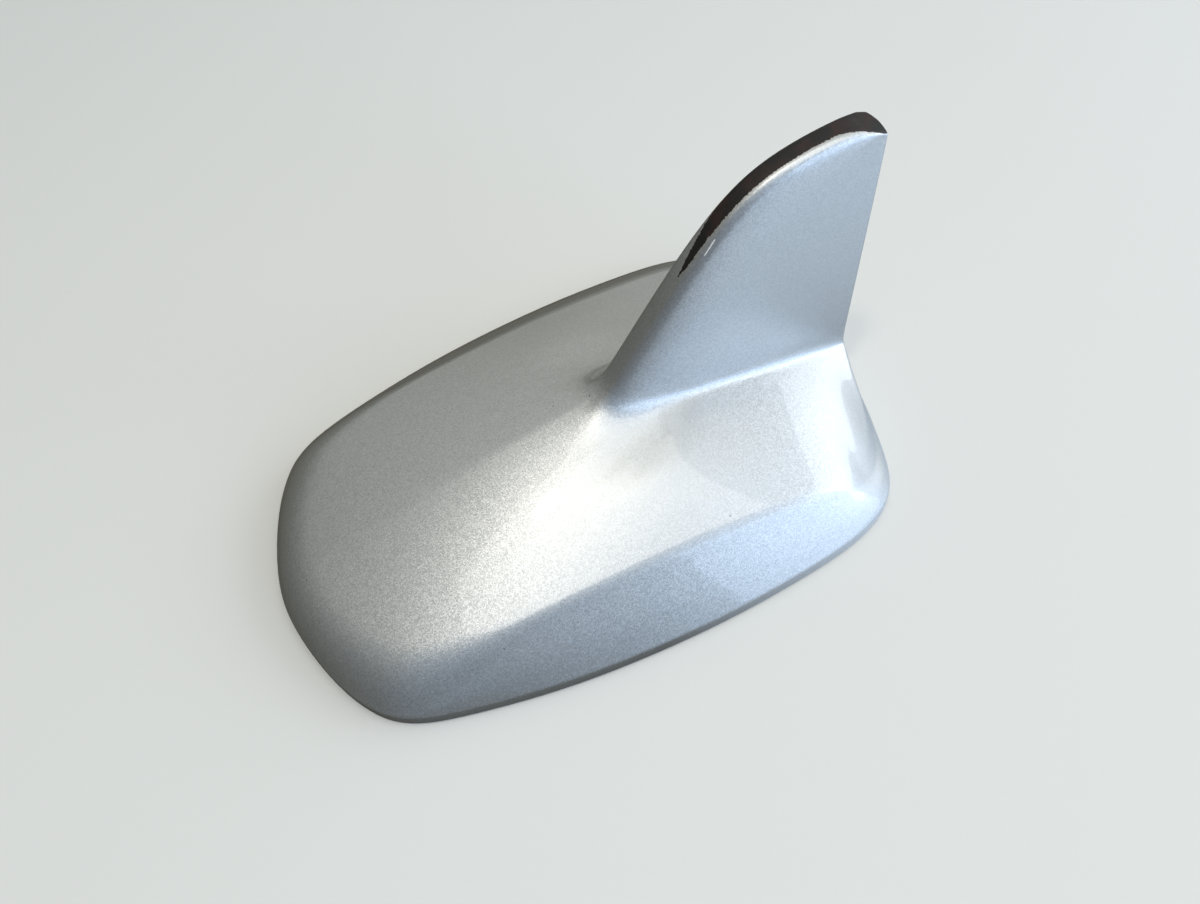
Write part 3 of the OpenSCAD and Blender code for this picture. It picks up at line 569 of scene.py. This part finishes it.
def textured(name, dark, light, roughness, grain, relief, kind="ShaderNodeTexNoise", stretch=(1, 1, 1),
             **shader):
    """A material whose tone, gloss and relief follow one pattern; grain and relief are in mm."""
    roughness_spread = 0.07
    material, tree = new_material(name)
    place = add_node(tree, "ShaderNodeTexCoord").outputs["Object"]
    stretched = add_node(tree, "ShaderNodeVectorMath", {0: place, 1: stretch}, operation="MULTIPLY")
    pattern = add_node(tree, kind, {"Vector": stretched, "Scale": 1 / (grain * MM)})
    tone = add_node(tree, "ShaderNodeMapRange", {"Value": pattern, "From Min": 0.3, "From Max": 0.7})
    gloss = add_node(tree, "ShaderNodeMapRange", {"Value": pattern, "From Min": 0.2, "From Max": 0.8,
                                                  "To Min": roughness - roughness_spread,
                                                  "To Max": roughness + roughness_spread})
    bump = add_node(tree, "ShaderNodeBump", {"Height": pattern, "Distance": relief * MM, "Strength": 0.8})
    colour = add_node(tree, "ShaderNodeMix", {0: tone, 6: dark, 7: light}, data_type="RGBA")
    constants = {key.replace("_", " "): value for key, value in shader.items()}
    surface = add_node(tree, "ShaderNodeBsdfPrincipled", {"Base Color": colour, "Normal": bump,
                                                          "Roughness": gloss, **constants})
    add_node(tree, "ShaderNodeOutputMaterial", {"Surface": surface})
    return material


def dress(material, *node_names):
    """Puts a material on CAD nodes, whose shape stays as it is."""
    for node_name in node_names:
        for material_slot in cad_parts[node_name].material_slots:
            material_slot.material = material


# yellow passivated zinc: golden, with patches that lean to green and pink
yellow_zinc = textured("yellow_passivated_zinc", "#B9A25A", "#D9B97C", 0.34, 2.2, 0.004, Metallic=1.0)
bush_profile = [
    (thread_root, -flange_thickness), (flange_radius - flange_bevel, -flange_thickness),
    (flange_radius, flange_bevel - flange_thickness), (flange_radius, 0), (bush_radius, 0),
    (bush_radius, bush_height - bush_chamfer), (bush_radius - bush_chamfer, bush_height),
    (thread_root, bush_height)]
bush_seat = bush_axis + Vector((0, 0, bush_low.z + flange_thickness * MM))
bush_body = turned("bush_body", bush_profile, bush_seat, bush_segments)
finish_piece(bush_body, yellow_zinc, ["threaded_bush"])

helix_tree = bpy.data.node_groups.new("thread_on_a_helix", "GeometryNodeTree")
for label in ("Turns", "Radius", "Height", "Depth"):
    helix_tree.interface.new_socket(label, in_out="INPUT", socket_type="NodeSocketFloat")
helix_tree.interface.new_socket("Material", in_out="INPUT", socket_type="NodeSocketMaterial")
helix_tree.interface.new_socket("Geometry", in_out="OUTPUT", socket_type="NodeSocketGeometry")
given = add_node(helix_tree, "NodeGroupInput").outputs
helix = add_node(helix_tree, "GeometryNodeCurveSpiral", {
    "Resolution": 40, "Rotations": given["Turns"], "Start Radius": given["Radius"],
    "End Radius": given["Radius"], "Height": given["Height"]})
ridge = add_node(helix_tree, "GeometryNodeCurvePrimitiveCircle", {"Resolution": 6, "Radius": given["Depth"]})
swept = add_node(helix_tree, "GeometryNodeCurveToMesh", {"Curve": helix, "Profile Curve": ridge,
                                                         "Fill Caps": True})
real = add_node(helix_tree, "GeometryNodeRealizeInstances", {"Geometry": swept})
painted = add_node(helix_tree, "GeometryNodeSetMaterial", {"Geometry": real, "Material": given["Material"]})
add_node(helix_tree, "NodeGroupOutput", {"Geometry": painted})


def made_by_nodes(name, node_tree, values, offset):
    """Evaluates a node tree into a plain mesh and moves its points to where the piece belongs."""
    carrier = bpy.data.objects.new(name + "_carrier", bpy.data.meshes.new(name + "_carrier"))
    bpy.context.scene.collection.objects.link(carrier)
    modifier = carrier.modifiers.new("nodes", "NODES")
    modifier.node_group = node_tree
    for item in node_tree.interface.items_tree:
        if item.in_out == "INPUT" and item.name in values:
            modifier[item.identifier] = values[item.name]
    shown = carrier.evaluated_get(bpy.context.evaluated_depsgraph_get())
    mesh = bpy.data.meshes.new_from_object(shown)
    bpy.data.objects.remove(carrier)
    mesh.name = name
    mesh.transform(Matrix.Translation(offset))
    piece = bpy.data.objects.new(name, mesh)
    bpy.context.scene.collection.objects.link(piece)
    return piece


thread_turns = (bush_high.z - bush_low.z) / MM / thread_pitch - thread_runout
bush_thread = made_by_nodes("bush_thread", helix_tree, {
    "Turns": thread_turns, "Radius": thread_root * MM, "Height": thread_turns * thread_pitch * MM,
    "Depth": thread_depth * MM, "Material": yellow_zinc},
    bush_axis + Vector((0, 0, bush_low.z + thread_start * MM)))
finish_piece(bush_thread, yellow_zinc, [])

# Roof gasket, edge seal and cable grommet: compression moulded black rubber. The grommet snaps into the
# plate, the seal lies between plate and cover, and the roof bolt clamps the gasket's beads against the roof.

# matt black rubber: a dull grey bloom and a fine moulded grain
dress(textured("black_gasket_rubber", "#191A1B", "#26272A", 0.74, 0.5, 0.006), "roof_gasket")
# softer, smoother rubber for the seal
dress(textured("soft_seal_rubber", "#151516", "#1F1F21", 0.66, 0.8, 0.003), "cover_seal")
# grommet rubber, a touch glossier where it is moulded against polished steel
dress(textured("grommet_rubber", "#1A1A1B", "#2B2B2D", 0.56, 0.6, 0.003), "cable_grommet")

# Base plate: the antenna's chassis, pressure die cast in zinc aluminium alloy, ribbed above, drilled and left
# bare. It carries the boards, and the cover is screwed to it from below.

# bare casting: cool grey, satin, with a fine mottled skin from the die
dress(textured("bare_die_casting", "#84868A", "#A4A6A8", 0.42, 1.4, 0.012, Metallic=1.0), "base_plate")

# Earthing washer and screws: the washer is stamped from spring steel and sits under the bush's flange, where
# its teeth bite through the roof's paint. The screws are cold headed steel, bright zinc plated: four hold the
# main board and four, from below, the cover.

# spring steel: darker, with the brown of the oil quench
dress(textured("spring_steel", "#6B6660", "#8C8A86", 0.36, 0.7, 0.004, Metallic=1.0), "earth_washer")
# bright zinc: pale blue grey with faint turning marks
dress(textured("bright_zinc_steel", "#A9ADB1", "#C8CBCE", 0.3, 0.35, 0.003, stretch=(1, 1, 6), Metallic=1.0),
      "board_screws", "cover_screws")

# Vent plug: a white membrane welded to a small disc and pressed into the base plate from below.
# It lets air through and keeps water out.

# porous membrane: chalky, with a fine cell pattern
dress(textured("white_vent_membrane", "#CFCFC8", "#E4E4DE", 0.8, 0.3, 0.01, kind="ShaderNodeTexVoronoi"),
      "vent_plug")

# Circuit boards: woven glass laminate with green solder resist over etched copper, cut to shape by routing.
# The main board is screwed to the base plate, and the upright one stands in the fin.

# solder resist: deep green and glossy, lighter where it covers a copper track
track_pitch = 6
weave_size = 0.4
weave_share = 0.2
track_height = 0.03
resist, tree = new_material("green_solder_resist")
board_place = add_node(tree, "ShaderNodeTexCoord").outputs["Object"]
tracks = add_node(tree, "ShaderNodeTexBrick", {
    "Vector": board_place, "Scale": 1 / (track_pitch * MM), "Mortar Size": 0.035, "Mortar Smooth": 0.1,
    "Bias": 0.0}).outputs["Fac"]
weave = add_node(tree, "ShaderNodeTexNoise", {"Vector": board_place, "Scale": 1 / (weave_size * MM)})
weave_height = add_node(tree, "ShaderNodeMath", {0: weave, 1: weave_share}, operation="MULTIPLY")
height = add_node(tree, "ShaderNodeMath", {0: tracks, 1: weave_height}, operation="ADD")
resist_bump = add_node(tree, "ShaderNodeBump", {"Height": height, "Distance": track_height * MM,
                                                "Strength": 0.7})
resist_colour = add_node(tree, "ShaderNodeMix", {0: tracks, 6: "#124A2C", 7: "#2C7A4C"}, data_type="RGBA")
resist_shader = add_node(tree, "ShaderNodeBsdfPrincipled", {"Base Color": resist_colour, "Roughness": 0.3,
                                                            "Normal": resist_bump})
add_node(tree, "ShaderNodeOutputMaterial", {"Surface": resist_shader})
dress(resist, "main_board", "fin_board")

# Parts on the boards: a fired ceramic aerial with a printed silver face, its pin and its tape, two drawn
# cans, small components, a tinned strip between the boards and a copper meander. The aerial is taped down,
# the meander is etched, and the rest are soldered.

# fired ceramic: warm tan with darker specks
dress(textured("fired_patch_ceramic", "#A5906F", "#BFA988", 0.62, 0.5, 0.006), "gps_patch")
# printed silver: satin with screen marks
dress(textured("printed_silver", "#C4C4C0", "#DAD9D4", 0.4, 0.3, 0.003, Metallic=1.0), "patch_electrode")
# gold flash over nickel: warm yellow, smooth and bright
dress(textured("gold_flash", "#C69A45", "#DDB765", 0.26, 0.8, 0.001, Metallic=1.0), "patch_feed_pin")
# acrylic foam tape: chalk white and dull
dress(textured("acrylic_foam_tape", "#D4D1C6", "#E6E4DC", 0.8, 0.4, 0.01), "patch_tape")
# tinned steel sheet with drawing marks along the can
dress(textured("tinned_sheet", "#A9ABAD", "#C6C8C9", 0.33, 0.5, 0.003, stretch=(1, 5, 1), Metallic=1.0),
      "amplifier_can", "filter_can")
# components: brown ceramic and black epoxy bodies
dress(textured("component_bodies", "#241F1C", "#6A4E3A", 0.5, 2.4, 0.002), "board_components")
# tinned copper strip, straw coloured where the tin is thin
dress(textured("tinned_copper", "#B9AF90", "#D5CDB2", 0.32, 0.9, 0.002, stretch=(5, 1, 1), Metallic=1.0),
      "contact_strip")
# etched copper under lacquer: reddish and even
dress(textured("etched_copper", "#A85F3A", "#C98057", 0.36, 0.6, 0.002, Metallic=1.0), "fin_foil")

# Bracket and foam pad: the bracket is injection moulded black plastic and grips the upright board.
# The pad is cut from foam sheet and sits between the board's top and the fin.

# glass filled plastic: dull black with short pale fibres
dress(textured("glass_filled_plastic", "#1B1C1E", "#333437", 0.55, 0.35, 0.006, stretch=(1, 3, 1)),
      "fin_bracket")
# open cell foam: grey with round cells
dress(textured("open_cell_foam", "#2E2F31", "#55575A", 0.85, 0.5, 0.08, kind="ShaderNodeTexVoronoi"),
      "foam_pad")

# Floor and light: a pale floor, one broad soft light overhead towards the near side, a small warm lamp that
# makes the bright spot on the deck, and two cool windows. Only the camera sees the floor and the sky pale:
# the paint mirrors a floor as grey as stone, with pale blue window light painted on it towards the windows,
# and a dimmer sky.
floor_half = 1.1
floor_corners = [(-floor_half, -floor_half, 0), (floor_half, -floor_half, 0), (floor_half, floor_half, 0),
                 (-floor_half, floor_half, 0)]
floor_mesh = bpy.data.meshes.new("studio_floor")
floor_mesh.from_pydata(floor_corners, [], [(0, 1, 2, 3)])
floor = bpy.data.objects.new("studio_floor", floor_mesh)
bpy.context.scene.collection.objects.link(floor)
floor_paint, tree = new_material("pale_floor")
rays = add_node(tree, "ShaderNodeLightPath").outputs["Is Camera Ray"]
floor_place = add_node(tree, "ShaderNodeTexCoord").outputs["Object"]
floor_part = add_node(tree, "ShaderNodeSeparateXYZ", {"Vector": floor_place}).outputs
# painted light: the floor that the paint mirrors is painted pale blue on its near rear corner, as a pool of
# the windows' light
near_part = add_node(tree, "ShaderNodeMapRange", {"Value": floor_part["Y"], "From Min": 0.02,
                                                  "From Max": -0.05})
rear_part = add_node(tree, "ShaderNodeMapRange", {"Value": floor_part["X"], "From Min": 0.0,
                                                  "From Max": 0.045})
painted_window_light = add_node(tree, "ShaderNodeMath", {0: near_part, 1: rear_part}, operation="MULTIPLY")
mirrored = add_node(tree, "ShaderNodeMix", {0: painted_window_light, 6: "#4F4C42", 7: "#DCE8F6"}, data_type="RGBA")
floor_colour = add_node(tree, "ShaderNodeMix", {0: rays, 6: mirrored, 7: "#DADAD7"}, data_type="RGBA")
floor_shader = add_node(tree, "ShaderNodeBsdfPrincipled", {"Base Color": floor_colour, "Roughness": 0.8,
                                                           "Specular IOR Level": 0.2})
add_node(tree, "ShaderNodeOutputMaterial", {"Surface": floor_shader})
floor_mesh.materials.append(floor_paint)


def add_softbox(name, place, aim, size, watts, colour, shape="RECTANGLE"):
    light = bpy.data.lights.new(name, "AREA")
    light.shape = shape
    light.size, light.size_y = size
    light.energy = watts
    light.color = linear_colour(colour)[:3]
    lamp = bpy.data.objects.new(name, light)
    bpy.context.scene.collection.objects.link(lamp)
    lamp.location = place
    lamp.rotation_euler = (Vector(aim) - Vector(place)).to_track_quat("-Z", "Y").to_euler()


add_softbox("overhead_softbox", place=(0.06, -0.25, 0.85), aim=(0, 0, 0), size=(0.85, 0.7), watts=3.2,
            colour="#FFFDF8")
add_softbox("deck_lamp", place=(-0.1, -0.045, 0.61), aim=(0, 0, 0), size=(0.05, 0.05), watts=0.45,
            colour="#FFF4E4", shape="ELLIPSE")
add_softbox("near_window", place=(0.72, -0.9, 0.38), aim=(0, 0, 0.02), size=(1.1, 0.7), watts=6.0,
            colour="#C4DAF6")
add_softbox("rear_window", place=(0.85, -0.15, 0.46), aim=(0, 0, 0.02), size=(0.9, 0.5), watts=4.0,
            colour="#E6EFFB")

# Sky: the light that comes from all round, as in a pale room with its windows on the near side. It is warm
# white, bluer towards the near side, and brighter overhead and behind the fin than ahead of the nose.
sky_dim = 0.12
sky_bright = 0.55
sky_seen = 0.8
world = bpy.data.worlds.new("studio")
bpy.context.scene.world = world
world.use_nodes = True
tree = world.node_tree
tree.nodes.clear()
seen = add_node(tree, "ShaderNodeLightPath").outputs["Is Camera Ray"]
generated = add_node(tree, "ShaderNodeTexCoord").outputs["Generated"]
direction = add_node(tree, "ShaderNodeSeparateXYZ", {"Vector": generated}).outputs
rearwards = add_node(tree, "ShaderNodeMath", {0: direction["X"], 1: 0.5}, operation="MULTIPLY")
upwards = add_node(tree, "ShaderNodeMath", {0: direction["Z"], 1: 0.6}, operation="MULTIPLY")
towards_light = add_node(tree, "ShaderNodeMath", {0: rearwards, 1: upwards}, operation="ADD")
nearwards = add_node(tree, "ShaderNodeMapRange", {"Value": direction["Y"], "From Min": 0.0, "From Max": -0.6})
sky_colour = add_node(tree, "ShaderNodeMix", {0: nearwards, 6: "#F0F2E8", 7: "#C2D8F0"}, data_type="RGBA")
sky_strength = add_node(tree, "ShaderNodeMapRange", {"Value": towards_light, "From Min": -0.28,
                                                     "From Max": 0.22, "To Min": sky_dim,
                                                     "To Max": sky_bright})
shown_colour = add_node(tree, "ShaderNodeMix", {0: seen, 6: sky_colour, 7: "#F2F2F0"}, data_type="RGBA")
shown_strength = add_node(tree, "ShaderNodeMapRange", {"Value": seen, "To Min": sky_strength,
                                                       "To Max": sky_seen})
sky = add_node(tree, "ShaderNodeBackground", {"Color": shown_colour, "Strength": shown_strength})
add_node(tree, "ShaderNodeOutputWorld", {"Surface": sky})
bpy.context.scene.view_settings.view_transform = "Standard"
